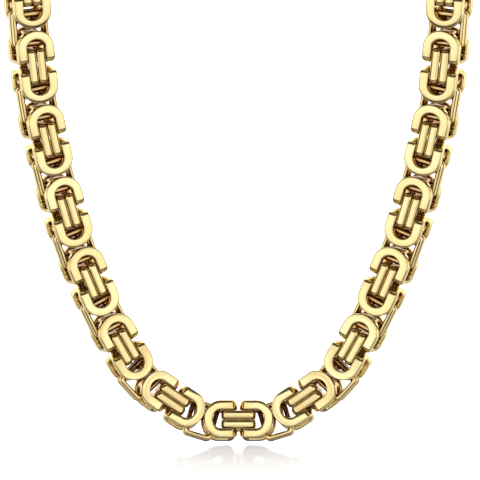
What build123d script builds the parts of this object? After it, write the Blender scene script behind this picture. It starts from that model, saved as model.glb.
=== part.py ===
from build123d import *
import math
import os

# A byzantine neck chain, as a closed loop in its worn shape. Sizes are in millimetres, angles in degrees.
# X is across the neck, Y runs from the front to the back, and Z is up.

# The chain is square in section, and this is the side of the square.
CHAIN_WIDTH = 11.0
# Each C-shaped band is as wide as it is thick.
BAND = 2.7
# From the middle of one pair of rings to the middle of the next.
HALF_PITCH = 11.0
# Gap from the middle of a ring pair to the nearer and to the farther end of a folded link.
NEAR_GAP = 0.45
FAR_GAP = 0.30
# A round end is nearly a half circle, a little flatter along the chain. Each slot narrows over its
# last stretch to a flat end.
END_REACH = 5.0
END_SIDES = 6
END_BAND = 2.5
END_SHOULDER = 1.9
# A fold is much flatter, because the wire turns sharply from the face into the depth.
FOLD_REACH = 2.2
FOLD_SIDES = 5
FOLD_BAND = 1.4
FOLD_SHOULDER = 0.9
# A bar crosses the link at the end of each slot, and a ring pair holds on to it. It lies between
# these distances from the middle of the ring pair. The one at the round end bulges to both sides.
BAR_NEAREST = 0.8
BAR_FARTHEST = 2.8
BAR_WIDTH = 2.3
BULGE_WIDTH = 4.6
BULGE_NEAREST = 1.5
BULGE_FARTHEST = 2.2

# The flat rings, which lie side by side in pairs.
RING_WIDTH = 2.55
RING_WALL = 1.3
RING_HOLLOW = 3.15
RING_GAP = 0.2
RING_INSET = 0.15
RING_CORNER = 1.3
RING_CORNER_DROP = 0.9
LONGEST_REACH = 5.3
RING_CLEARANCE = 0.2

# The clasp's box and its slotted tongues.
CLASP_HALF = 13.0
CLASP_BOX = 9.6
CLASP_DEPTH = 7.0
TONGUE = 2.6

# The faces lean in towards the neck by this much, all round the loop.
LEAN = 20.5

# One row for each repeat of the pattern, from the lowest one up to the clasp behind the neck.
# turn: how far the loop turns in its own plane at the side rings.
# fold: how far it folds back over the shoulder at the front rings.
COLUMNS = ("turn", "fold")
REPEATS = [
    (35.3, 0.0),
    (26.3, 0.0),
    (6.3, 0.0),
    (6.5, 0.0),
    (3.3, 0.0),
    (6.6, 0.0),
    (3.0, 22.0),
    (14.98, 22.0),
    (21.4, 22.0),
    (25.69, 0.0),
    (25.9, 0.0),
    (25.88, -3.9),
]

HALF = CHAIN_WIDTH / 2
SLOT = HALF - BAND
BAR_LENGTH = BAR_FARTHEST - BAR_NEAREST
PAIR_HALF = RING_WIDTH + RING_GAP / 2


def c_outline(tip, reach, sides, band, shoulder):
    """A C lying along X: open at X = 0, with its closed end at X = tip."""
    centre = tip - reach
    points = [(0, HALF)]
    for i in range(sides + 1):
        angle = math.radians(90 - 180 * i / sides)
        points.append((centre + reach * math.cos(angle), HALF * math.sin(angle)))
    points += [(0, -HALF), (0, -SLOT), (tip - band - shoulder, -SLOT)]
    points += [(tip - band, -BAR_WIDTH / 2), (tip - band, BAR_WIDTH / 2)]
    points += [(tip - band - shoulder, SLOT), (0, SLOT)]
    return make_face(Polyline(*points, close=True))


def folded_link():
    """Seen from the front and from the side it is a C, and the two Cs open in opposite directions."""
    front_c = c_outline(HALF_PITCH - FAR_GAP, END_REACH, END_SIDES, END_BAND, END_SHOULDER)
    side_c = c_outline(HALF_PITCH - NEAR_GAP, FOLD_REACH, FOLD_SIDES, FOLD_BAND, FOLD_SHOULDER)
    front = extrude(front_c, HALF, both=True)
    side = extrude(side_c, HALF, both=True)
    side = side.rotate(Axis.X, 90).rotate(Axis.Z, 180).moved(Location((HALF_PITCH, 0, 0)))
    link = front & side
    bar = [
        (BAR_NEAREST, BAR_WIDTH / 2),
        (BULGE_NEAREST, BULGE_WIDTH / 2),
        (BULGE_FARTHEST, BULGE_WIDTH / 2),
        (BAR_FARTHEST, BAR_WIDTH / 2),
    ]
    bar += [(x, -y) for x, y in reversed(bar)]
    far_bar = make_face(Polyline(*[(HALF_PITCH - x, y) for x, y in bar], close=True))
    link += extrude(far_bar, SLOT, both=True)
    near = (BAR_NEAREST + BAR_FARTHEST) / 2
    link += Pos(near, 0, 0) * Box(BAR_LENGTH, 2 * SLOT, BAR_WIDTH)
    return link.solids()[0]


def ring_reach(bend):
    """Half the length of a ring, short enough to clear its neighbours where the chain bends."""
    half = math.radians(bend / 2)
    free = (HALF_PITCH - RING_CLEARANCE) / 2
    return min(LONGEST_REACH, free * math.cos(half) - PAIR_HALF * math.sin(half))


def ring_pair(bend):
    """Two flat rings side by side, lying along X, with their bars above and below."""
    reach = ring_reach(abs(bend))
    high = HALF - RING_INSET
    outline = []
    for sx, sy in ((1, 1), (-1, 1), (-1, -1), (1, -1)):
        bevel = [
            (sx * reach, sy * (high - RING_CORNER_DROP)),
            (sx * (reach - RING_CORNER), sy * high),
        ]
        outline += bevel if sx == sy else bevel[::-1]
    face = make_face(Polyline(*outline, close=True))
    face -= Rectangle(2 * RING_HOLLOW, 2 * (high - RING_WALL))
    upright = extrude(face, RING_WIDTH / 2, both=True).rotate(Axis.X, 90)
    offset = (RING_WIDTH + RING_GAP) / 2
    return [Pos(0, side * offset, 0) * upright for side in (-1, 1)]


def clasp_body():
    """A plain box across the middle, with a slotted tongue at each end for the last rings."""
    tongue_end = CLASP_HALF - BAR_NEAREST
    window = CLASP_HALF - CLASP_BOX / 2 - BAR_FARTHEST
    body = Box(2 * tongue_end, CHAIN_WIDTH, TONGUE)
    for side in (-1, 1):
        middle = side * (CLASP_BOX / 2 + window / 2)
        body -= Pos(middle, 0, 0) * Box(window, 2 * SLOT, TONGUE)
    ends = body.edges().filter_by(Axis.Z).group_by(Axis.X)
    body = chamfer(ends[0] + ends[-1], 1.5)
    box = Box(CLASP_BOX, CHAIN_WIDTH, CLASP_DEPTH)
    box = chamfer(box.edges().filter_by(Axis.X), 0.8)
    return (body + box).solids()[0]


def turned(vector, axis, angle):
    """The direction turned about an axis."""
    return vector.rotate(Axis((0, 0, 0), tuple(axis)), angle)


def lean_share(turn):
    """How much of a turn in the loop's plane the front rings take, because the faces lean."""
    return math.degrees(math.atan(math.tan(math.radians(turn / 2)) * math.sin(math.radians(LEAN))))


def side_share(turn):
    """How much of the same turn the side rings take."""
    half = math.sin(math.radians(turn / 2)) * math.cos(math.radians(LEAN))
    return 2 * math.degrees(math.asin(half))


def half_loop():
    """The places of all links on one side, as rows of kind, bend, point, direction and face."""
    lean = math.radians(LEAN)
    point = Vector(0, 0, 0)
    along = Vector(-1, 0, 0)
    face = Vector(0, -math.cos(lean), math.sin(lean))
    turns = [row[COLUMNS.index("turn")] for row in REPEATS]
    folds = [row[COLUMNS.index("fold")] for row in REPEATS]
    shares = [lean_share(turn) for turn in turns] + [0.0]
    places = [("front_pair", 2 * shares[0], point, along, face)]
    across = face.cross(along)
    along = turned(along, across, -shares[0])
    face = turned(face, across, -shares[0])
    for i, turn in enumerate(turns):
        places.append(("folded", 0.0, point, along, face))
        point = point + along * HALF_PITCH
        swing = side_share(turn)
        along = turned(along, face, -swing / 2)
        places.append(("side_pair", swing, point, along, face))
        along = turned(along, face, -swing / 2)
        point = point + along * HALF_PITCH
        places.append(("folded", 0.0, point, along * -1, face))
        fold = folds[i] - shares[i] - shares[i + 1]
        across = face.cross(along)
        along = turned(along, across, fold / 2)
        face = turned(face, across, fold / 2)
        places.append(("front_pair", fold, point, along, face))
        along = turned(along, across, fold / 2)
        face = turned(face, across, fold / 2)
    return places, point, face


def flipped(vector):
    """The same point or direction on the other side of the loop."""
    return Vector(-vector.X, vector.Y, vector.Z)


def loop():
    """All solids of the two chain nodes and the clasp, with the origin at the rest on the neck."""
    places, end, end_face = half_loop()
    inner = Vector(1, 0, 0).cross(end_face)
    if inner.Z > 0:
        inner = inner * -1
    origin = Vector(0, end.Y, end.Z) + inner * HALF
    folded = folded_link()
    face_links = []
    bar_links = []
    for number, (kind, bend, point, along, face) in enumerate(places):
        images = [(point, along, face)]
        if number > 0:
            images.append((flipped(point), flipped(along), flipped(face)))
        for spot, x_dir, z_dir in images:
            frame = Plane(origin=spot - origin, x_dir=x_dir, z_dir=z_dir).location
            if kind == "folded":
                face_links.append(frame * folded)
            else:
                roll = 0 if kind == "front_pair" else 90
                bar_links += [frame * Rot(roll, 0, 0) * ring for ring in ring_pair(bend)]
    middle = Vector(0, end.Y, end.Z) - origin
    clasp = Plane(origin=middle, x_dir=(1, 0, 0), z_dir=end_face).location * clasp_body()
    return face_links, bar_links, clasp


os.makedirs("parts", exist_ok=True)
face_links, bar_links, clasp = loop()
export_step(Compound(children=face_links), "parts/face_links.step")
export_step(Compound(children=bar_links), "parts/bar_links.step")
export_step(clasp, "parts/clasp.step")
steel = sum(s.volume for s in face_links + bar_links + [clasp])
print(len(face_links), "folded links,", len(bar_links), "flat rings,", round(steel), "cubic mm")
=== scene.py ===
# %% [markdown]
# # A byzantine neck chain
# The object is a heavy steel chain with a pale gold finish, held in its worn shape with the clasp
# at the back of the neck. Folded C-shaped links and pairs of flat rings take turns along it. This
# lesson rebuilds the three kinds of part as smooth surfaces, gives them a polished gold finish and
# lights them. The engineering model is loaded first, because every piece has to sit where it says.

# %% Load the frame
import math

import bpy
import numpy as np
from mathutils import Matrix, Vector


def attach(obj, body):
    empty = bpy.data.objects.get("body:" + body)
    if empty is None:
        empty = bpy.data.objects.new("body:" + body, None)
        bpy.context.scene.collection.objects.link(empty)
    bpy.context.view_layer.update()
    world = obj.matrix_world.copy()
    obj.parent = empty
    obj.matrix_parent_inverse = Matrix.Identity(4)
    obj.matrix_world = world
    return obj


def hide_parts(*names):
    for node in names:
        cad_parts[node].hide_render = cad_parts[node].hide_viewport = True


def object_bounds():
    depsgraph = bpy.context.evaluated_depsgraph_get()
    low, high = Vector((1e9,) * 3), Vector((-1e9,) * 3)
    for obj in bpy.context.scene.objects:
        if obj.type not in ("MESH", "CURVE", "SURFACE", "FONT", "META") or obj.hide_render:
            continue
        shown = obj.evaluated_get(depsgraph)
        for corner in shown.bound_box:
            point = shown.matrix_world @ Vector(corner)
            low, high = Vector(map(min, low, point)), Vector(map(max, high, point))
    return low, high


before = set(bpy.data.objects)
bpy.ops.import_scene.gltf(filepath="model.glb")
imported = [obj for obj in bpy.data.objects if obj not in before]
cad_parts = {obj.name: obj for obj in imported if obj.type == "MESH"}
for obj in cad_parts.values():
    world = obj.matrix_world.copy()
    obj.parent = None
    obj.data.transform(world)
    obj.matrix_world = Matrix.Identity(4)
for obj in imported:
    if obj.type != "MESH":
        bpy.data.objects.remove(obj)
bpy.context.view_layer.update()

MM = 0.001


def in_mm(metres):
    """Metres as whole tenths of a millimetre, for printing."""
    return np.round(np.array(metres) / MM, 1)


# %% [markdown]
# ## How the chain runs
# A jeweller closes this chain into a loop of 24 repeats. It can't bend just anywhere: at a pair of
# side rings it swings to the left or right, and at a pair of front rings it folds forwards or
# backwards. So the whole path can be written as a short table of turns, and walking the table gives
# the place and direction of every link. One side is walked, and the other is its mirror image.

# %% The table of turns
HALF_PITCH = 11.0 * MM
HALF_WIDTH = 5.5 * MM
LEAN = math.radians(20.5)
# One row for each repeat, from the lowest one up to the clasp: the turn in the loop's own plane at
# the side rings, and the fold over the shoulder at the front rings, in degrees.
REPEATS = np.array([
    (35.3, 0.0), (26.3, 0.0), (6.3, 0.0), (6.5, 0.0), (3.3, 0.0), (6.6, 0.0),
    (3.0, 22.0), (14.98, 22.0), (21.4, 22.0), (25.69, 0.0), (25.9, 0.0), (25.88, -3.9),
])
turns, folds = np.radians(REPEATS).T
# The faces lean in towards the neck, so the front rings take a share of each turn as well.
front_share = np.append(np.arctan(np.tan(turns / 2) * math.sin(LEAN)), 0.0)
side_share = 2 * np.arcsin(np.sin(turns / 2) * math.cos(LEAN))
print(len(REPEATS), "repeats on each side turn", round(math.degrees(turns.sum()), 1), "degrees")

# %% [markdown]
# Walking the table keeps three things up to date: the place, the direction along the chain and the
# direction out of its face. Each row of the result is the seat of one link or one ring pair. The
# same could be done with empties and parents, but arrays are easier to check and to mirror.


# %% Walk along one side
def turned(vector, axis, angle):
    """The vector turned about a unit axis: its part along the axis stays, the rest goes round."""
    stays = axis * (vector @ axis)
    return stays + (vector - stays) * math.cos(angle) + np.cross(axis, vector) * math.sin(angle)


def walk():
    """Rows of kind, bend, place, direction along the chain and direction out of the face."""
    place = np.zeros(3)
    along = np.array([-1.0, 0.0, 0.0])
    face = np.array([0.0, -math.cos(LEAN), math.sin(LEAN)])
    rows = [("front", 2 * front_share[0], place, along, face)]
    across = np.cross(face, along)
    along, face = (turned(v, across, -front_share[0]) for v in (along, face))
    for i, swing in enumerate(side_share):
        rows.append(("link", 0.0, place, along, face))
        place = place + along * HALF_PITCH
        along = turned(along, face, -swing / 2)
        rows.append(("side", swing, place, along, face))
        along = turned(along, face, -swing / 2)
        place = place + along * HALF_PITCH
        rows.append(("link", 0.0, place, -along, face))
        fold = folds[i] - front_share[i] - front_share[i + 1]
        across = np.cross(face, along)
        along, face = (turned(v, across, fold / 2) for v in (along, face))
        rows.append(("front", fold, place, along, face))
        along, face = (turned(v, across, fold / 2) for v in (along, face))
    return rows


rows = walk()
end_face = rows[-1][4]
inwards = np.cross([1.0, 0.0, 0.0], end_face)
inwards = -inwards if inwards[2] > 0 else inwards
origin = rows[-1][2] * [0, 1, 1] + inwards * HALF_WIDTH
print("the lowest rings are at", in_mm(rows[0][2] - origin), "mm")


# %% Both sides together
def seats(kind):
    """Places, 3x3 frames and bends of all parts of one kind, the mirrored side after the first.

    The columns of a frame are the directions along the chain, across it and out of its face.
    The lowest front rings lie in the mirror plane, so they have no twin."""
    kept = [row for row in rows if row[0] == kind]
    bends = np.array([abs(row[1]) for row in kept])
    place = np.array([row[2] for row in kept]) - origin
    along = np.array([row[3] for row in kept])
    face = np.array([row[4] for row in kept])
    twin = np.arange(1 if kind == "front" else 0, len(kept))
    other_side = np.array([-1.0, 1.0, 1.0])
    bends = np.append(bends, bends[twin])
    place = np.append(place, place[twin] * other_side, axis=0)
    along = np.append(along, along[twin] * other_side, axis=0)
    face = np.append(face, face[twin] * other_side, axis=0)
    return place, np.stack([along, np.cross(face, along), face], axis=2), bends


for kind in ("link", "front", "side"):
    print(len(seats(kind)[0]), kind, "seats")

# %% [markdown]
# ## From a formula to a mesh
# Each part is bent from thick wire with a nearly square section, so its surface is a profile
# carried along a closed path. Two parameters run over it: one along the path and one round the
# profile. Laying their values out as a grid gives all the points at once, and the normals come from
# the same formula. They keep the wide faces flat and mirror-like up to their rounded edges, which a
# smoothed mesh would not do.

# %% The profile: a rectangle with its own radius at each corner
CORNERS = np.array([(1, 1), (-1, 1), (-1, -1), (1, -1)])
ARC_STEPS = 3
CROWN = math.radians(7.0)


def wire_profile(half_p, half_q, radii, crown):
    """Points and outward normals round a rectangle with rounded corners.

    Each corner is a quarter circle about a centre that lies one radius in from both sides. radii
    has a row for each step of the path and a column for each corner. The normals turn a little
    less than the circle does, by the crown angle at each end, so the flat sides look domed."""
    quarter = np.linspace(0, math.pi / 2, ARC_STEPS + 1)
    first = np.arange(4)[:, None] * math.pi / 2
    angle = (first + quarter).ravel()
    tip = (first + np.linspace(crown, math.pi / 2 - crown, ARC_STEPS + 1)).ravel()
    out, normal = (np.stack([np.cos(a), np.sin(a)], axis=-1) for a in (angle, tip))
    sign = np.repeat(CORNERS, ARC_STEPS + 1, axis=0)
    radius = np.repeat(radii, ARC_STEPS + 1, axis=1)[..., None]
    half = np.stack([half_p, half_q], axis=-1)[:, None, :]
    return sign * (half - radius) + radius * out, np.broadcast_to(normal, sign.shape)


# %% [markdown]
# A wall between two curves, an outer and an inner one, gives the middle line, the thickness and the
# direction of the profile at each step. A profile that is carried this way never twists, which is
# where a curve with a bevel goes wrong on a wire that folds into another plane.


# %% Carry the profile along the path
def between(outer, inner):
    """Middle, half thickness and unit direction of the wall between two curves, step by step."""
    half = (outer - inner) / 2
    thickness = np.linalg.norm(half, axis=1)
    return (outer + inner) / 2, thickness, half / thickness[:, None]


def carried(centre, p_way, q_way, points, normals):
    """Grid of points centre + p * p_way + q * q_way, and their unit normals.

    The normal is at right angles to the step along the path and to the step round the profile, and
    points the way the profile's own normal does."""
    place = centre[:, None] + points[..., :1] * p_way[:, None] + points[..., 1:] * q_way[:, None]
    outward = normals[..., :1] * p_way[:, None] + normals[..., 1:] * q_way[:, None]
    round_way = -normals[..., 1:] * p_way[:, None] + normals[..., :1] * q_way[:, None]
    path_way = np.roll(place, -1, axis=0) - np.roll(place, 1, axis=0)
    normal = np.cross(path_way, round_way)
    normal *= np.sign((normal * outward).sum(-1, keepdims=True))
    return place, normal / np.linalg.norm(normal, axis=-1, keepdims=True)


def grid_faces(rows_count, columns_count, capped):
    """Four corner numbers for each cell of a grid that closes round the profile.

    It also closes along the path, unless it is capped. A cap is a row of strips laid from side to
    side across the first or the last profile."""
    last = rows_count - 1 if capped else rows_count
    i, j = np.meshgrid(np.arange(last), np.arange(columns_count), indexing="ij")
    i2, j2 = (i + 1) % rows_count, (j + 1) % columns_count
    corners = [(i, j), (i2, j), (i2, j2), (i, j2)]
    cells = np.stack([row * columns_count + column for row, column in corners]).reshape(4, -1).T
    if capped:
        k = np.arange(columns_count // 2 - 1)
        strips = np.stack([k, k + 1, columns_count - 2 - k, columns_count - 1 - k], 1)
        far_strips = strips[:, ::-1] + (rows_count - 1) * columns_count
        cells = np.concatenate([cells, strips, far_strips])
    return cells


# %% [markdown]
# A shape is kept as three arrays until it is finished: points, normals and faces. Shapes are then
# simple to join and to repeat, and each kind of part becomes one mesh. Instances would be smaller,
# but one mesh carries a tone number for each link, which the finish uses later.


# %% Join and repeat shapes
def shape_of(place, normal, capped=False):
    """A grid as points, normals and faces, all wound so that they look outwards."""
    faces = grid_faces(*place.shape[:2], capped)
    place, normal = place.reshape(-1, 3), normal.reshape(-1, 3)
    a, b, c, d = (place[faces[:, k]] for k in range(4))
    inside_out = (a * np.cross(b, c) + a * np.cross(c, d)).sum() < 0
    return place, normal, faces[:, ::-1] if inside_out else faces


def joined(shapes):
    """Several shapes as one, each one's corner numbers raised by the points before it."""
    before = np.cumsum([0] + [len(shape[0]) for shape in shapes[:-1]])
    place, normal = (np.concatenate([shape[k] for shape in shapes]) for k in (0, 1))
    faces = np.concatenate([shape[2] + start for shape, start in zip(shapes, before)])
    return place, normal, faces


def repeated(shape, places, frames):
    """A copy of the shape in every seat: each point is turned by the seat's frame and moved."""
    point, normal, faces = shape
    turned_points = np.einsum("sij,pj->spi", frames, point) + places[:, None]
    turned_normals = np.einsum("sij,pj->spi", frames, normal)
    raised = faces[None] + (np.arange(len(places)) * len(point))[:, None, None]
    corners = faces.shape[1]
    return turned_points.reshape(-1, 3), turned_normals.reshape(-1, 3), raised.reshape(-1, corners)


# %% Put a shape into Blender
def new_piece(name, shape, tone):
    """A mesh object at the origin, with its normals and a tone number for each point."""
    point, normal, faces = shape
    mesh = bpy.data.meshes.new(name)
    mesh.vertices.add(len(point))
    mesh.vertices.foreach_set("co", point.astype(np.float32).ravel())
    mesh.loops.add(faces.size)
    mesh.loops.foreach_set("vertex_index", faces.astype(np.int32).ravel())
    mesh.polygons.add(len(faces))
    starts = np.arange(0, faces.size, faces.shape[1], dtype=np.int32)
    mesh.polygons.foreach_set("loop_start", starts)
    mesh.update(calc_edges=True)
    mesh.polygons.foreach_set("use_smooth", np.ones(len(faces), dtype=bool))
    mesh.normals_split_custom_set_from_vertices(normal.astype(np.float32))
    tones = mesh.attributes.new("link_tone", "FLOAT", "POINT")
    tones.data.foreach_set("value", tone.astype(np.float32))
    piece = bpy.data.objects.new(name, mesh)
    bpy.context.scene.collection.objects.link(piece)
    print(name, "has", len(faces) * (faces.shape[1] - 2), "triangles")
    return piece


# %% [markdown]
# ## The folded link
# On the real chain this is a ring of thick wire, flattened and then folded over, so that from the
# front and from the side it looks like the letter C. It could be modelled by bending a torus with
# modifiers, but the two round ends would go soft. Here its path is written down as four half
# ellipses: over the front face, round one side, over the back face and round the other side.

# %% Sizes of the folded link
BAND = 2.7 * MM
NEAR_GAP = 0.45 * MM
FAR_GAP = 0.30 * MM
END_REACH = 5.0 * MM
END_BAND = 2.5 * MM
FOLD_REACH = 2.2 * MM
FOLD_BAND = 1.4 * MM
FOLD_HOLLOW = 1.8 * MM
FOLD_SQUARENESS = 2.15
SLOT = HALF_WIDTH - BAND
FAR_CENTRE = HALF_PITCH - FAR_GAP - END_REACH
EDGE = 0.33 * MM
FOLD_CORNER = 0.72 * MM
FOLD_SIDE_CORNER = 0.3 * MM
FOLD_TAPER = 0.6 * MM
LOBE_STEPS = 24
# The normals also tip towards the two ends of the link by up to this much, because the stamped
# faces are very slightly domed along their length.
LENGTH_CROWN = math.radians(5.0)


# %% One half ellipse
def half_ellipse(squareness, reach, height):
    """Half an ellipse whose cosine and sine are raised to 2 / squareness, which squares it up."""
    angle = np.linspace(math.pi / 2, -math.pi / 2, LOBE_STEPS + 1)
    c, s = np.cos(angle), np.sin(angle)
    power = 2 / squareness
    return reach * np.abs(c) ** power, height * np.sign(s) * np.abs(s) ** power


# %% The band of the folded link
def folded_band():
    """The link's band: front end, one fold, back end and other fold, as one closed path.

    Each end and each fold runs between an outer and an inner half ellipse. On the ends p crosses
    this wall and q points out of the face. On the folds the two change places, so the same square
    profile runs on without a twist. Towards the middle of a fold the wall narrows outside."""
    zero = np.zeros(LOBE_STEPS + 1)
    one = zero + 1
    end_out = half_ellipse(2.0, END_REACH, HALF_WIDTH)
    end_in = half_ellipse(2.0, END_REACH - END_BAND, SLOT)
    fold_out = half_ellipse(FOLD_SQUARENESS, FOLD_REACH, HALF_WIDTH)
    fold_in = half_ellipse(2.0, FOLD_HOLLOW, SLOT)
    bend = half_ellipse(2.0, 1.0, 1.0)[0]
    taper = FOLD_TAPER * bend ** 3
    middle = HALF_WIDTH - BAND / 2
    parts = []
    for side in (1, -1):
        curves = [np.stack([FAR_CENTRE + x, side * y, side * middle * one], 1)
                  for x, y in (end_out, end_in)]
        centre, wall, way = between(*curves)
        parts.append((centre, way, np.outer(one, [0, 0, side]), wall, BAND / 2 * one, zero))
        starts = (NEAR_GAP + FOLD_REACH, NEAR_GAP + FOLD_BAND + FOLD_HOLLOW)
        curves = [np.stack([start - x, -side * (middle - taper / 2), side * z], 1)
                  for start, (x, z) in zip(starts, (fold_out, fold_in))]
        centre, wall, way = between(*curves)
        side_way = np.outer(one, [0, -side, 0])
        parts.append((centre, side_way, way, (BAND - taper) / 2, wall, bend ** 2))
    centre, p_way, q_way, half_p, half_q, fold = (np.concatenate(part) for part in zip(*parts))
    radii = EDGE + np.outer(fold, [FOLD_CORNER, FOLD_SIDE_CORNER, 0.0, 0.0])
    place, normal = carried(centre, p_way, q_way, *wire_profile(half_p, half_q, radii, CROWN))
    normal[..., 0] += LENGTH_CROWN * (2 * place[..., 0] / HALF_PITCH - 1)
    return shape_of(place, normal / np.linalg.norm(normal, axis=-1, keepdims=True))


band = folded_band()
print("the band's box in mm:", in_mm(band[0].min(0)), in_mm(band[0].max(0)))

# %% [markdown]
# ## The bars inside the link
# Where the wire ends meet inside the link, a short bar crosses it, and the ring pairs hold on to
# these bars. Each bar is a rounded block with its ends buried in the band. The one behind the round
# end is worn into a broad pillow, which shows as a dark glint above the ring pair.

# %% The two crossing bars
BAR_NEAREST = 0.8 * MM
BAR_FARTHEST = 2.8 * MM
BAR_WIDTH = 2.3 * MM
BULGE_WIDTH = 4.6 * MM
BAR_EDGE = 0.4 * MM
BULGE_EDGE = 0.98 * MM
BURIED = 0.9 * MM
X_WAY, Y_WAY, Z_WAY = np.eye(3)


def crossing_bar(middle_x, way, across, width, edge):
    """A rounded bar: the profile is carried straight along it and capped at both buried ends."""
    run = (SLOT + BURIED) * np.array([-1.0, 1.0])
    half_length = np.full(2, (BAR_FARTHEST - BAR_NEAREST) / 2)
    half_width = np.full(2, width / 2)
    points, normals = wire_profile(half_length, half_width, np.full((2, 4), edge), CROWN)
    centre = middle_x * X_WAY + run[:, None] * way
    place = centre[:, None] + points[..., :1] * X_WAY + points[..., 1:] * across
    normal = normals[..., :1] * X_WAY + normals[..., 1:] * across
    return shape_of(place, np.broadcast_to(normal, place.shape), capped=True)


bar_middle = (BAR_NEAREST + BAR_FARTHEST) / 2
far_bar = crossing_bar(HALF_PITCH - bar_middle, Z_WAY, Y_WAY, BULGE_WIDTH, BULGE_EDGE)
near_bar = crossing_bar(bar_middle, Y_WAY, Z_WAY, BAR_WIDTH, BAR_EDGE)
link_shape = joined([band, far_bar, near_bar])
print("one folded link has", len(link_shape[2]) * 2, "triangles")

# %% [markdown]
# The finished link is repeated in its 48 seats. No two links come out of the coating chamber quite
# alike, so each one gets a tone between 0 and 1, drawn with a fixed seed so that every run agrees.

# %% All folded links
places, frames, _ = seats("link")
rng = np.random.default_rng(11)
link_tone = np.repeat(rng.uniform(0, 1, len(places)), len(link_shape[0]))
c_links = new_piece("folded_c_links", repeated(link_shape, places, frames), link_tone)
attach(c_links, "root")
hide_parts("face_links")

# %% [markdown]
# ## The ring pairs
# Between the folded links sit pairs of flat rings, side by side, whose straight bars show in the
# slots. Where the chain bends, the rings are a little shorter, so that they clear their neighbours.
# A ring is the same kind of surface: a flat wire profile carried round a rectangle with rounded
# corners.

# %% Sizes of the rings
RING_WIDTH = 2.55 * MM
RING_WALL = 1.3 * MM
RING_HOLLOW = 3.15 * MM
RING_GAP = 0.2 * MM
RING_HIGH = HALF_WIDTH - 0.15 * MM
RING_CORNER = 1.5 * MM
HOLLOW_CORNER = 0.9 * MM
OUTER_EDGE = 0.4 * MM
INNER_EDGE = 0.4 * MM
OUTER_EDGE_AT_ENDS = 0.5 * MM
INNER_EDGE_AT_ENDS = 0.6 * MM
RING_CROWN = math.radians(9.0)
LONGEST_REACH = 5.3 * MM
RING_CLEARANCE = 0.2 * MM
CORNER_STEPS = 7


# %% One ring
def ring_reach(bend):
    """Half the length of a ring: what the bend leaves free, or the longest if that is less."""
    free = (HALF_PITCH - RING_CLEARANCE) / 2
    pair_half = RING_WIDTH + RING_GAP / 2
    return min(LONGEST_REACH, free * math.cos(bend / 2) - pair_half * math.sin(bend / 2))


def rounded_rectangle(half_x, half_z, corner, y):
    """Four quarter circles joined by straight runs, in a plane across y."""
    quarter = np.linspace(0, math.pi / 2, CORNER_STEPS + 1)
    angle = (np.arange(4)[:, None] * math.pi / 2 + quarter).ravel()
    sign = np.repeat(CORNERS, CORNER_STEPS + 1, axis=0)
    arc = corner * np.stack([np.cos(angle), np.sin(angle)], 1)
    flat = sign * (np.array([half_x, half_z]) - corner) + arc
    return np.stack([flat[:, 0], np.full(len(flat), y), flat[:, 1]], 1)


def flat_ring(reach, offset):
    """The wall between an outer and an inner rounded rectangle.

    Its edges grow by the square of how far the wall points along the chain, so they are roundest
    where the ring crosses over at its two ends."""
    outer = rounded_rectangle(reach, RING_HIGH, RING_CORNER, offset)
    inner = rounded_rectangle(RING_HOLLOW, RING_HIGH - RING_WALL, HOLLOW_CORNER, offset)
    centre, wall, way = between(outer, inner)
    crossing = way[:, :1] ** 2
    outer_edge = OUTER_EDGE + OUTER_EDGE_AT_ENDS * crossing
    inner_edge = INNER_EDGE + INNER_EDGE_AT_ENDS * crossing
    radii = np.where(CORNERS[:, 0] > 0, outer_edge, inner_edge)
    half_q = np.full(len(centre), RING_WIDTH / 2)
    q_way = np.broadcast_to(Y_WAY, centre.shape)
    return shape_of(*carried(centre, way, q_way, *wire_profile(wall, half_q, radii, RING_CROWN)))


# %% Ring pairs in their seats
def ring_pairs(kind):
    """All pairs of one kind. Side pairs are the same rings, rolled a quarter turn on the chain."""
    places, frames, bends = seats(kind)
    if kind == "side":
        frames = np.stack([frames[..., 0], frames[..., 2], -frames[..., 1]], axis=2)
    made = []
    offset = (RING_WIDTH + RING_GAP) / 2
    for place, seat, bend in zip(places, frames, bends):
        reach = ring_reach(bend)
        pair = joined([flat_ring(reach, -offset), flat_ring(reach, offset)])
        made.append(repeated(pair, place[None], seat[None]))
    return joined(made)


# %% All rings
rings_shape = joined([ring_pairs("front"), ring_pairs("side")])
points_per_ring = 4 * (CORNER_STEPS + 1) * 4 * (ARC_STEPS + 1)
ring_tone = np.repeat(rng.uniform(0, 1, len(rings_shape[0]) // points_per_ring), points_per_ring)
rings = new_piece("flat_ring_pairs", rings_shape, ring_tone)
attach(rings, "root")
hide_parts("bar_links")

# %% [markdown]
# ## The clasp
# Behind the neck the two ends meet in a box clasp. The photograph doesn't show it, so it stays
# plain: a box with softly rounded edges, and at each end a slotted tongue that the last ring pair
# holds. The tongue is flat wire carried round a long rectangle that passes through the box.

# %% Sizes of the clasp
CLASP_HALF = 13.0 * MM
CLASP_BOX = 9.6 * MM
CLASP_DEPTH = 7.0 * MM
TONGUE = 2.6 * MM
TONGUE_CORNER = 2.2 * MM
CLASP_EDGE = 0.9 * MM


def tongue_loop():
    """The wall between two rounded rectangles in the x-y plane, which passes through the box."""
    outer = rounded_rectangle(CLASP_HALF - BAR_NEAREST, HALF_WIDTH, TONGUE_CORNER, 0.0)
    inner = rounded_rectangle(CLASP_HALF - BAR_FARTHEST, SLOT, TONGUE_CORNER / 3, 0.0)
    outer, inner = (curve[:, [0, 2, 1]] for curve in (outer, inner))
    centre, wall, way = between(outer, inner)
    radii = np.full((len(centre), 4), INNER_EDGE)
    half_q = np.full(len(centre), TONGUE / 2)
    q_way = np.broadcast_to(Z_WAY, centre.shape)
    return shape_of(*carried(centre, way, q_way, *wire_profile(wall, half_q, radii, CROWN)))


# %% [markdown]
# The box is a block whose section stays a rounded rectangle and only shrinks: quickly over the last
# stretch at both ends, which rounds them, and slightly at two fine grooves, where the lid would
# meet the body. One list of insets along x describes all of that.

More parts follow.
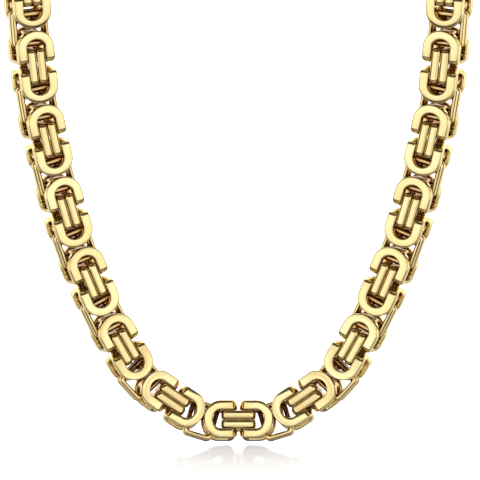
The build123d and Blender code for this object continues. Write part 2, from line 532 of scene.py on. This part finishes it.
# %% The box of the clasp
GROOVE_PLACE = 3.3 * MM
GROOVE_WIDE = 0.5 * MM
GROOVE_DEEP = 0.22 * MM
LEAST_EDGE = 0.1 * MM
EDGE_STEPS = 5


def clasp_box():
    """A rounded block along x.

    Each step of its path has a place along x, an inset that shrinks the section there, and the
    angle by which the normal tips towards the end."""
    turn = np.linspace(0, math.pi / 2, EDGE_STEPS + 1)[::-1]
    end_x = CLASP_BOX / 2 - CLASP_EDGE * (1 - np.sin(turn))
    end_in = CLASP_EDGE * (1 - np.cos(turn))
    groove_x = GROOVE_PLACE + GROOVE_WIDE / 2 * np.array([1.0, 0.5, 0.0, -0.5, -1.0])
    groove_in = GROOVE_DEEP * np.array([0.0, 0.6, 1.0, 0.6, 0.0])
    groove_tip = np.radians([0.0, -45.0, 0.0, 45.0, 0.0])
    x = np.concatenate([end_x, groove_x])
    inset = np.concatenate([end_in, groove_in])
    tip = np.concatenate([turn, groove_tip])
    x, tip = (np.append(half, -half[::-1]) for half in (x, tip))
    inset = np.append(inset, inset[::-1])
    radii = np.maximum(CLASP_EDGE - inset, LEAST_EDGE)[:, None] * np.ones(4)
    points, normals = wire_profile(HALF_WIDTH - inset, CLASP_DEPTH / 2 - inset, radii, CROWN)
    level = np.broadcast_to(x[:, None, None], points[..., :1].shape)
    end_part = np.broadcast_to(np.sin(tip)[:, None, None], points[..., :1].shape)
    normal = np.concatenate([end_part, np.cos(tip)[:, None, None] * normals], axis=2)
    return shape_of(np.concatenate([level, points], axis=2), normal, capped=True)


# %% The clasp behind the neck
clasp_place = (rows[-1][2] * [0, 1, 1] - origin)[None]
clasp_frame = np.stack([X_WAY, np.cross(end_face, X_WAY), end_face], axis=1)[None]
clasp_shape = repeated(joined([clasp_box(), tongue_loop()]), clasp_place, clasp_frame)
clasp = new_piece("box_clasp", clasp_shape, np.full(len(clasp_shape[0]), 0.5))
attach(clasp, "root")
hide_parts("clasp")

# %% [markdown]
# ## The polish
# The steel is polished and then coated in a vacuum with a thin, hard, pale gold layer. Close up,
# polished metal is never a perfect mirror: tumbling leaves the faces very slightly wavy, wiping
# leaves fine hairlines in all directions, and handling leaves a faint haze in patches. Each of
# these is a few thousandths of a millimetre at most, so they belong in the material and not in the
# mesh. The narrow gaps also get a dark brown painted shade. All of this lives in one node group,
# which hands out a tint, a roughness and a height.

# %% Small helpers for nodes
def add_node(tree, kind, place, inputs=(), **settings):
    """A node with its settings made, and its inputs either linked or given a value."""
    node = tree.nodes.new(kind)
    node.location = place
    for name, value in settings.items():
        setattr(node, name, value)
    for key, value in inputs:
        if isinstance(value, bpy.types.NodeSocket):
            tree.links.new(value, node.inputs[key])
        else:
            node.inputs[key].default_value = value
    return node


def arithmetic(tree, place, operation, *values, **settings):
    """One sum or product of numbers."""
    settings["operation"] = operation
    return add_node(tree, "ShaderNodeMath", place, enumerate(values), **settings).outputs[0]


def soft_step(tree, place, value, start, end):
    """0 before the start, 1 after the end, and an S-shaped curve between them."""
    inputs = [("Value", value), ("From Min", start), ("From Max", end)]
    node = add_node(tree, "ShaderNodeMapRange", place, inputs, interpolation_type="SMOOTHSTEP")
    return node.outputs[0]


def mixed_colour(tree, place, share, first, second):
    """The first colour, going over to the second by the share."""
    inputs = [(0, share), (6, first), (7, second)]
    return add_node(tree, "ShaderNodeMix", place, inputs, data_type="RGBA").outputs[2]


# %% [markdown]
# Hairlines are made from noise that is stretched about twenty times along one axis, so that its
# spots become streaks. Only its highest peaks are kept, as thin lines, and three layers that are
# turned differently cross each other as wiping marks do.

# %% Hairlines
LINE_TURNS = ((0.3, 0.9, 0.1), (1.2, 0.2, 0.8), (0.5, 1.5, 1.1))
LINE_STRETCH = (1.0, 0.045, 1.0)
LINE_START, LINE_FULL = 0.60, 0.68


def hairlines(group, where, size):
    """A mask of thin streaks: the highest of three stretched noises at each point."""
    layers = []
    for number, spin in enumerate(LINE_TURNS):
        level = -300 - 250 * number
        streak_place = add_node(group, "ShaderNodeMapping", (-1000, level), [
            ("Vector", where), ("Rotation", spin), ("Scale", LINE_STRETCH)]).outputs[0]
        streak = add_node(group, "ShaderNodeTexNoise", (-800, level), [
            ("Vector", streak_place), ("Scale", size), ("Detail", 1.0)]).outputs["Fac"]
        layers.append(soft_step(group, (-600, level), streak, LINE_START, LINE_FULL))
    two = arithmetic(group, (-400, -300), "MAXIMUM", layers[0], layers[1])
    return arithmetic(group, (-400, -500), "MAXIMUM", two, layers[2])


# %% The sockets of the polish group
POLISH_INPUTS = [
    ("Colour", "NodeSocketColor", (0.93, 0.79, 0.5, 1.0)),
    ("Worn Colour", "NodeSocketColor", (0.95, 0.85, 0.6, 1.0)),
    ("Haze", "NodeSocketFloat", 0.05),
    ("Base Roughness", "NodeSocketFloat", 0.06),
    # Painted shade: the dark brown that the narrow gaps get, and how far ambient occlusion looks
    # for them.
    ("Painted Shade Colour", "NodeSocketColor", (0.42, 0.2, 0.08, 1.0)),
    ("Painted Shade Distance", "NodeSocketFloat", 0.004),
    ("Wave Size", "NodeSocketFloat", 260.0),
    ("Hairline Size", "NodeSocketFloat", 900.0),
    ("Tone", "NodeSocketFloat", 0.5),
]
POLISH_OUTPUTS = [
    ("Tint", "NodeSocketColor"), ("Roughness", "NodeSocketFloat"), ("Height", "NodeSocketFloat"),
]


def with_sockets(name, inputs, outputs):
    """A new node group with these inputs and outputs."""
    group = bpy.data.node_groups.new(name, "ShaderNodeTree")
    for label, kind, value in inputs:
        socket = group.interface.new_socket(name=label, in_out="INPUT", socket_type=kind)
        socket.default_value = value
    for label, kind in outputs:
        group.interface.new_socket(name=label, in_out="OUTPUT", socket_type=kind)
    return group


# %% [markdown]
# Haze comes from a soft noise about a centimetre across. It lightens the tint and adds roughness.
# The painted shade in the gaps is found with ambient occlusion, which measures how much of the
# space around a point is closed off within a few millimetres.

# %% The node group for worn polish
HAZE_SIZE = 90.0
HAZE_START, HAZE_FULL = 0.45, 0.72
HAZE_IN_TONE = 0.6
TONE_SHARE = 0.8
# The openness at which the painted shade in the gaps starts and where it is full.
PAINTED_SHADE_START, PAINTED_SHADE_FULL = 0.66, 0.2
HAIRLINE_DEPTH = -0.06


def polish_group():
    """Tint, Roughness and Height of a polished coated metal, from its place and its link's tone.

    The tint goes from Colour to Worn Colour by the tone plus the haze, and to Painted Shade Colour
    in the gaps, which is painted shade. The roughness is the base plus haze and hairlines. The
    height is a soft wave with the hairlines cut into it."""
    group = with_sockets("worn_polish", POLISH_INPUTS, POLISH_OUTPUTS)
    given = add_node(group, "NodeGroupInput", (-1200, 0)).outputs
    where = add_node(group, "ShaderNodeTexCoord", (-1200, 300)).outputs["Object"]
    wave = add_node(group, "ShaderNodeTexNoise", (-900, 300), [
        ("Vector", where), ("Scale", given["Wave Size"]), ("Detail", 1.0)]).outputs["Fac"]
    patch = add_node(group, "ShaderNodeTexNoise", (-900, 0), [
        ("Vector", where), ("Scale", HAZE_SIZE), ("Detail", 3.0)]).outputs["Fac"]
    lines = hairlines(group, where, given["Hairline Size"])
    haze = soft_step(group, (-600, 0), patch, HAZE_START, HAZE_FULL)
    toned = arithmetic(group, (-400, 150), "MULTIPLY_ADD", haze, HAZE_IN_TONE, given["Tone"])
    share = arithmetic(group, (-200, 150), "MULTIPLY", toned, TONE_SHARE, use_clamp=True)
    tint = mixed_colour(group, (0, 200), share, given["Colour"], given["Worn Colour"])
    # Painted shade: where ambient occlusion finds a narrow gap, the tint goes over to a dark brown.
    openness = add_node(group, "ShaderNodeAmbientOcclusion", (-200, 450), [
        ("Distance", given["Painted Shade Distance"])], samples=12).outputs["AO"]
    painted_shade = soft_step(group, (0, 450), openness, PAINTED_SHADE_START, PAINTED_SHADE_FULL)
    shaded_tint = mixed_colour(group, (150, 300), painted_shade, tint, given["Painted Shade Colour"])
    base, amount = given["Base Roughness"], given["Haze"]
    hazy = arithmetic(group, (-200, -50), "MULTIPLY_ADD", haze, amount, base)
    rough = arithmetic(group, (0, -50), "MULTIPLY_ADD", lines, amount, hazy)
    height = arithmetic(group, (0, -300), "MULTIPLY_ADD", lines, HAIRLINE_DEPTH, wave)
    add_node(group, "NodeGroupOutput", (250, 0), [
        ("Tint", shaded_tint), ("Roughness", rough), ("Height", height)])
    return group


worn_polish = polish_group()
print("the polish group has", len(worn_polish.nodes), "nodes")

# %% [markdown]
# The three kinds of part share the polish and differ a little. The broad links are the best
# mirrors, the rings are slightly deeper in colour, and the clasp is handled most, so its mirror is
# the softest. The colour of the gold goes straight into the group, because it varies over the
# surface there, and everything that is the same all over is set on the shader itself.

# %% Pale gold
RELIEF_DEPTH = 0.02 * MM
EDGE_TINT = (1.0, 0.97, 0.86, 1.0)


def gold_finish(name, haze, base_roughness, wave_size, colour, worn_colour):
    """A metal whose colour, roughness and fine relief come from the polish group."""
    finish = bpy.data.materials.new(name)
    finish.use_nodes = True
    tree = finish.node_tree
    tree.nodes.clear()
    tone = add_node(tree, "ShaderNodeAttribute", (-700, 0), attribute_name="link_tone")
    polish = add_node(tree, "ShaderNodeGroup", (-450, 0), node_tree=worn_polish)
    tree.links.new(tone.outputs["Fac"], polish.inputs["Tone"])
    for key, value in (("Colour", colour), ("Worn Colour", worn_colour), ("Haze", haze),
                       ("Base Roughness", base_roughness), ("Wave Size", wave_size)):
        polish.inputs[key].default_value = value
    relief = add_node(tree, "ShaderNodeBump", (-220, -250), [
        ("Height", polish.outputs["Height"]), ("Distance", RELIEF_DEPTH), ("Strength", 0.5)])
    metal = add_node(tree, "ShaderNodeBsdfPrincipled", (0, 0), [
        ("Base Color", polish.outputs["Tint"]), ("Roughness", polish.outputs["Roughness"]),
        ("Normal", relief.outputs["Normal"]), ("Metallic", 1.0), ("Specular Tint", EDGE_TINT)])
    out = add_node(tree, "ShaderNodeOutputMaterial", (300, 0))
    tree.links.new(metal.outputs[0], out.inputs[0])
    return finish


mirror_gold = gold_finish(
    "mirror_gold", haze=0.05, base_roughness=0.07, wave_size=240.0,
    colour=(0.91, 0.73, 0.35, 1.0), worn_colour=(1.0, 0.86, 0.47, 1.0))
ring_gold = gold_finish(
    "ring_gold", haze=0.06, base_roughness=0.08, wave_size=300.0,
    colour=(0.9, 0.71, 0.34, 1.0), worn_colour=(0.98, 0.81, 0.42, 1.0))
clasp_gold = gold_finish(
    "clasp_gold", haze=0.05, base_roughness=0.11, wave_size=180.0,
    colour=(0.94, 0.76, 0.39, 1.0), worn_colour=(0.955, 0.79, 0.44, 1.0))
for piece, finish in ((c_links, mirror_gold), (rings, ring_gold), (clasp, clasp_gold)):
    piece.data.materials.append(finish)
    print(piece.name, "is finished in", finish.name)

# %% [markdown]
# ## The table
# The picture was taken on a glossy white table, lit so brightly that it has no horizon, and only a
# pale reflection of the lowest links shows below the chain. A sheet of white acrylic lit from below
# does the same: it gives off light of its own and mirrors the bright wall behind it. Where the
# chain hides that wall, the mirror image is a little darker. The glow itself is also weaker in an
# oval round the chain's foot, which is a painted shadow.

# %% White acrylic
TABLE_GAP = 0.6 * MM
TABLE_HALF = 6.0
# The glow is measured from a point below the middle of the lowest links, in metres.
CHAIN_FOOT_Y = -0.046
GLOW_OVAL = (0.55, 1.0, 0.0)
GLOW_NEAR, GLOW_FAR = 0.008, 0.042
# The glow is weakest at the chain's foot: a painted shadow under the lowest links.
LEAST_GLOW, FULL_GLOW = 0.62, 0.93


def white_acrylic():
    """Light of its own, a little scattering and a glossy surface.

    The light grows evenly with the distance from the chain's foot, counted at 0.55 across the
    picture, so the dimmer place is a painted shadow: an oval as wide as the lowest links."""
    finish = bpy.data.materials.new("white_acrylic")
    finish.use_nodes = True
    sheet = finish.node_tree.nodes["Principled BSDF"]
    sheet.inputs["Base Color"].default_value = (0.3, 0.3, 0.3, 1.0)
    sheet.inputs["Roughness"].default_value = 0.09
    sheet.inputs["Emission Color"].default_value = (1.0, 1.0, 1.0, 1.0)
    tree = finish.node_tree
    where = add_node(tree, "ShaderNodeTexCoord", (-900, 0)).outputs["Object"]
    offset = add_node(tree, "ShaderNodeVectorMath", (-700, 0), [
        (0, where), (1, GLOW_OVAL), (2, (0.0, -CHAIN_FOOT_Y, 0.0))], operation="MULTIPLY_ADD")
    away = add_node(tree, "ShaderNodeVectorMath", (-500, 0), [
        (0, offset.outputs[0])], operation="LENGTH").outputs["Value"]
    glow = add_node(tree, "ShaderNodeMapRange", (-300, 0), [
        ("Value", away), ("From Min", GLOW_NEAR), ("From Max", GLOW_FAR),
        ("To Min", LEAST_GLOW), ("To Max", FULL_GLOW)])
    tree.links.new(glow.outputs[0], sheet.inputs["Emission Strength"])
    return finish


table_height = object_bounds()[0][2] - TABLE_GAP
corner = np.array([(-1, -1), (1, -1), (1, 1), (-1, 1)]) * TABLE_HALF
table_mesh = bpy.data.meshes.new("table")
table_mesh.from_pydata(np.c_[corner, np.full(4, table_height)].tolist(), [], [(0, 1, 2, 3)])
table = bpy.data.objects.new("table", table_mesh)
table_mesh.materials.append(white_acrylic())
bpy.context.scene.collection.objects.link(table)
table.visible_glossy = False
print("the table lies at", round(table_height / MM, 2), "mm")

# %% [markdown]
# ## The light
# Mirror-like metal shows what stands around it more than it shows itself. Jewellery is therefore
# shot in a white tent with openings: the front is one big soft light, which fills the flat faces
# with cream, and the dark gap above it draws a black line where a link bends away. Here the tent is
# a world shader, where brightness depends only on the direction.

# %% The tent
# Each patch: the direction of its middle, the angles in degrees where it starts and where it is
# full, the two heights between which it is let through, and its colour at full strength.
TENT_PATCHES = [
    ((0.0, -1.0, 0.15), 66, 50, (-0.3, 0.545), (0.79, 0.775, 0.74)),
    ((-0.62, -0.783, 0.0), 22, 0, (-0.3, 0.545), (0.4, 0.4, 0.4)),
    ((0.62, -0.783, 0.0), 22, 0, (-0.3, 0.545), (0.4, 0.4, 0.4)),
    ((0.0, -0.883, 0.469), 26, 0, (-0.3, 0.545), (0.3, 0.3, 0.3)),
    ((0.0, -1.0, 0.21), 14, 7, (-1.1, 1.1), (-0.25, -0.25, -0.25)),
    ((0.0, 0.55, 1.0), 22, 12, (-1.1, 1.1), (1.1, 1.1, 1.1)),
    ((-0.79, 0.61, -0.2), 16, 8, (-1.1, 1.1), (0.75, 0.74, 0.7)),
    ((0.79, 0.61, -0.2), 16, 8, (-1.1, 1.1), (0.75, 0.74, 0.7)),
    ((-0.75, 0.66, -0.2), 50, 25, (-1.1, 1.1), (0.72, 0.68, 0.58)),
    ((0.75, 0.66, -0.2), 50, 25, (-1.1, 1.1), (0.72, 0.68, 0.58)),
    ((0.0, 1.0, 0.2), 45, 25, (-1.1, 1.1), (0.6, 0.6, 0.58)),
    ((0.0, 1.0, 0.9), 60, 30, (-1.1, 1.1), (0.28, 0.28, 0.27)),
    ((0.0, -0.35, -1.0), 60, 15, (-1.1, 1.1), (0.44, 0.38, 0.32)),
]
TENT_SLOPE = 0.35
TENT_GAP_COLOUR = (0.06, 0.052, 0.04)
LOW_SOFTNESS, HIGH_SOFTNESS = 0.05, 0.03


def tent_patch(tree, level, way, height, patch):
    """How much of one patch is seen in a direction.

    The cosine of the angle from its middle becomes a soft step, times one soft step at its lower
    and one at its upper height."""
    middle, outer, inner, (low, high), _ = patch
    middle = np.array(middle) / np.linalg.norm(middle)
    nearness = add_node(tree, "ShaderNodeVectorMath", (-1000, level), [
        (0, way), (1, tuple(middle))], operation="DOT_PRODUCT").outputs["Value"]
    start, full = (math.cos(math.radians(angle)) for angle in (outer, inner))
    amount = soft_step(tree, (-800, level), nearness, start, full)
    for cut, softness in ((low, LOW_SOFTNESS), (high, -HIGH_SOFTNESS)):
        let_through = soft_step(tree, (-800, level - 150), height, cut - softness, cut + softness)
        amount = arithmetic(tree, (-600, level), "MULTIPLY", amount, let_through)
    return amount


# %% The world shader
def tent_light():
    """The sum of all patches on the gap colour, which grows brighter upwards by the slope.

    The camera itself sees plain white behind the chain, as in the photograph."""
    world = bpy.data.worlds.new("light_tent")
    world.use_nodes = True
    tree = world.node_tree
    tree.nodes.clear()
    way = add_node(tree, "ShaderNodeTexCoord", (-1200, 0)).outputs["Generated"]
    height = add_node(tree, "ShaderNodeSeparateXYZ", (-1000, 300), [("Vector", way)]).outputs["Z"]
    total = TENT_GAP_COLOUR
    for number, patch in enumerate(TENT_PATCHES):
        level = -300 * number
        amount = tent_patch(tree, level, way, height, patch)
        added = add_node(tree, "ShaderNodeVectorMath", (-400, level), [
            (0, patch[-1]), (2, total)], operation="MULTIPLY_ADD")
        tree.links.new(amount, added.inputs[1])
        total = added.outputs[0]
    slope = arithmetic(tree, (-200, 300), "MULTIPLY_ADD", height, TENT_SLOPE, 1.0)
    tent = add_node(tree, "ShaderNodeBackground", (0, 0), [("Color", total), ("Strength", slope)])
    seen = add_node(tree, "ShaderNodeBackground", (0, -200), [("Color", (1.0, 1.0, 1.0, 1.0))])
    path = add_node(tree, "ShaderNodeLightPath", (0, 300))
    mixed = add_node(tree, "ShaderNodeMixShader", (250, 0), [
        (0, path.outputs["Is Camera Ray"]), (1, tent.outputs[0]), (2, seen.outputs[0])])
    out = add_node(tree, "ShaderNodeOutputWorld", (450, 0))
    tree.links.new(mixed.outputs[0], out.inputs[0])
    return world


bpy.context.scene.world = tent_light()
print("the tent has", len(TENT_PATCHES), "patches of light")

# %% [markdown]
# The bright wall that the table mirrors is a large area lamp. A lamp in that place would also draw
# streaks on the gold, so light linking lets it shine on the table alone.

# %% The bright wall behind the table
WALL_MIDDLE = (0.0, 5.5, 1.7)
WALL_WIDE, WALL_HIGH = 8.0, 3.8
WALL_RADIANCE = 1.35


def wall_light(name, middle, wide, high, radiance):
    """An upright area lamp that faces the camera and shines on the table alone.

    A flat lamp of radiance L sends out pi times L watts from each square metre."""
    data = bpy.data.lights.new(name, "AREA")
    data.shape, data.size, data.size_y = "RECTANGLE", wide, high
    data.energy = math.pi * radiance * wide * high
    lamp = bpy.data.objects.new(name, data)
    bpy.context.scene.collection.objects.link(lamp)
    # Blender reads these four rows as the lamp's own x, y and z directions and its place.
    lamp.matrix_world = [(*X_WAY, 0.0), (*-Z_WAY, 0.0), (*Y_WAY, 0.0), (*middle, 1.0)]
    lamp.visible_camera = False
    lit = bpy.data.collections.new("lit_by_" + name)
    lit.objects.link(table)
    lamp.light_linking.receiver_collection = lit
    return lamp


wall = wall_light("wall_lamp", WALL_MIDDLE, WALL_WIDE, WALL_HIGH, WALL_RADIANCE)
print(wall.name, "shines with", round(wall.data.energy), "W on the table")

# %% [markdown]
# ## The camera
# The camera looks slightly down at the hanging chain through a long lens, so the underside of the
# lowest links shows as a narrow band. It is aimed by the frame's width in millimetres.

# %% Aim the camera
CAMERA_ELEVATION = math.radians(12.0)
CAMERA_DISTANCE = 1.4
FRAME_WIDTH = 139.53 * MM
TARGET = np.array([0.44, -3.0, 65.0]) * MM - origin
TARGET_DROP = 9.76 * MM

look = np.array([0.0, math.cos(CAMERA_ELEVATION), -math.sin(CAMERA_ELEVATION)])
up = np.array([0.0, math.sin(CAMERA_ELEVATION), math.cos(CAMERA_ELEVATION)])
spot = TARGET - up * TARGET_DROP - look * CAMERA_DISTANCE
camera_data = bpy.data.cameras.new("camera")
camera_data.sensor_width = 36.0
camera_data.lens = camera_data.sensor_width * CAMERA_DISTANCE / FRAME_WIDTH
camera_data.clip_start, camera_data.clip_end = 0.01, 50.0
camera = bpy.data.objects.new("camera", camera_data)
bpy.context.scene.collection.objects.link(camera)
camera.matrix_world = [(*X_WAY, 0.0), (*up, 0.0), (*-look, 0.0), (*spot, 1.0)]
bpy.context.scene.camera = camera
bpy.context.scene.view_settings.view_transform = "Standard"
print("lens", round(camera_data.lens, 1), "mm")
